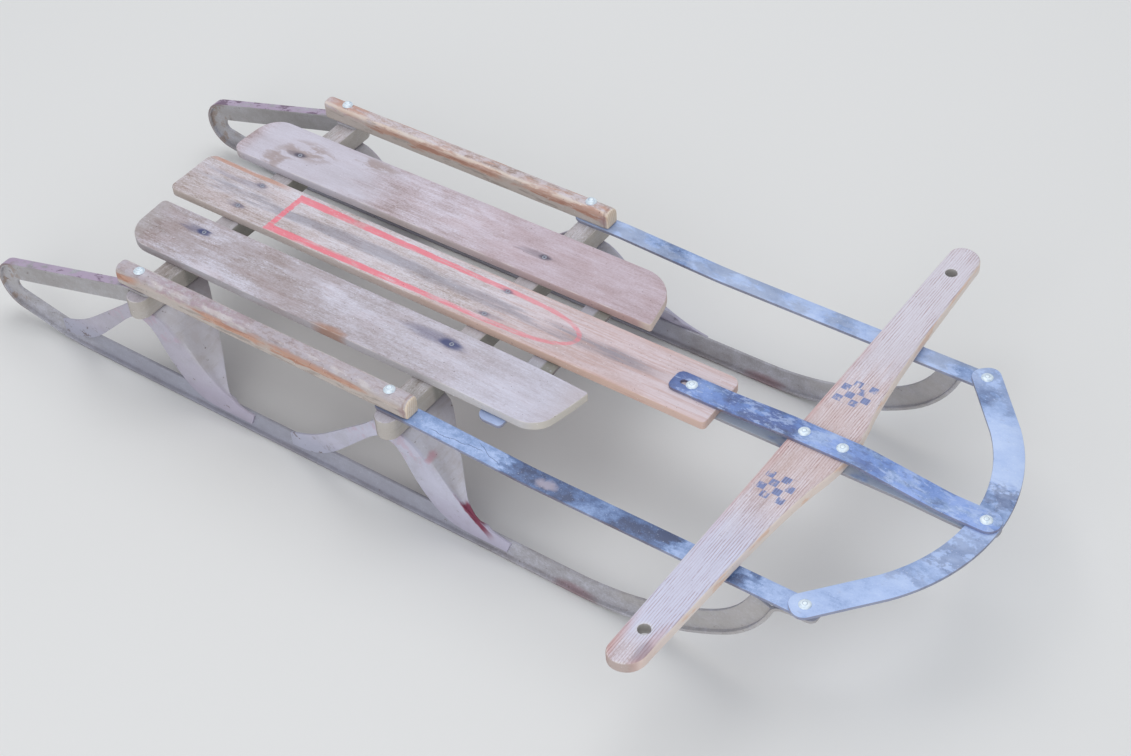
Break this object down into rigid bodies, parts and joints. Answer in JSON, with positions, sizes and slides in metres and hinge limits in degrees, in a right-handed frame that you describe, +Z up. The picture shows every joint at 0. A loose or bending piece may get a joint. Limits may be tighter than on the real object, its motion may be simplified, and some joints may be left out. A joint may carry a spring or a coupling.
{
  "type": "steering sled",
  "caption": "Low steering sled: slatted wooden deck and side rails on steel knees and T-section runners, turned by a wooden cross bar.",
  "frame": {"origin": "on the ground, midway between the tail of the runner loops and the front of the bumper, on the centre line", "axes": "+X forward, towards the bumper; +Y to the sled's left; +Z up"},
  "size_m": [0.95, 0.528, 0.133],
  "materials": {
    "wood": "bare, weathered grey-brown",
    "painted_steel": "worn grey paint with red remnants",
    "strap_steel": "dark blue-black, oxidised in pale patches",
    "zinc_rivet": "dull zinc"
  },
  "bodies": {
    "frame": {"deck_slat_centre": "wood", "deck_slat_left": "wood", "deck_slat_right": "wood", "side_rail_left": "wood", "side_rail_right": "wood", "bench_rear": "wood", "bench_front": "wood", "cross_strap_front": "strap_steel", "rail_bolts": "zinc_rivet", "knee_rear_left": "painted_steel", "knee_rear_right": "painted_steel", "knee_front_left": "painted_steel", "knee_front_right": "painted_steel", "runner_left": "painted_steel", "runner_right": "painted_steel", "steering_pivot_rivet": "zinc_rivet"},
    "steering_lever": {"steering_bar": "wood", "steering_strap_top": "strap_steel", "steering_strap_bottom": "strap_steel"},
    "arm_left": {"side_strap_left": "strap_steel", "runner_nose_left": "painted_steel", "bumper_end_rivet_left": "zinc_rivet"},
    "arm_right": {"side_strap_right": "strap_steel", "runner_nose_right": "painted_steel", "bumper_end_rivet_right": "zinc_rivet"},
    "bumper_bow": {"bumper": "strap_steel", "bumper_centre_rivet": "zinc_rivet"}
  },
  "joints": [
    {"name": "steer", "type": "hinge", "parent": "frame", "child": "steering_lever", "pos_m": [0.202, 0, 0.1145], "axis": [0, 0, 1], "range_deg": [-5, 5], "stiffness_Nm_per_rad": 45},
    {"name": "strap_turn_left", "type": "hinge", "parent": "frame", "child": "arm_left", "pos_m": [0.005, 0.14, 0.1105], "axis": [0, 0, 1], "range_deg": [-3.4, 3.4]},
    {"name": "strap_turn_right", "type": "hinge", "parent": "frame", "child": "arm_right", "pos_m": [0.005, -0.14, 0.1105], "axis": [0, 0, 1], "range_deg": [-3.4, 3.4]},
    {"name": "bumper_turn", "type": "hinge", "parent": "arm_left", "child": "bumper_bow", "pos_m": [0.391, 0.14, 0.1085], "axis": [0, 0, 1], "range_deg": [-3.4, 3.4]}
  ],
  "couplings": [
    {"joint": "strap_turn_left", "follows": "steer", "ratio": 0.6762},
    {"joint": "strap_turn_right", "follows": "steer", "ratio": 0.6762},
    {"joint": "bumper_turn", "follows": "steer", "ratio": -0.6762}
  ]
}
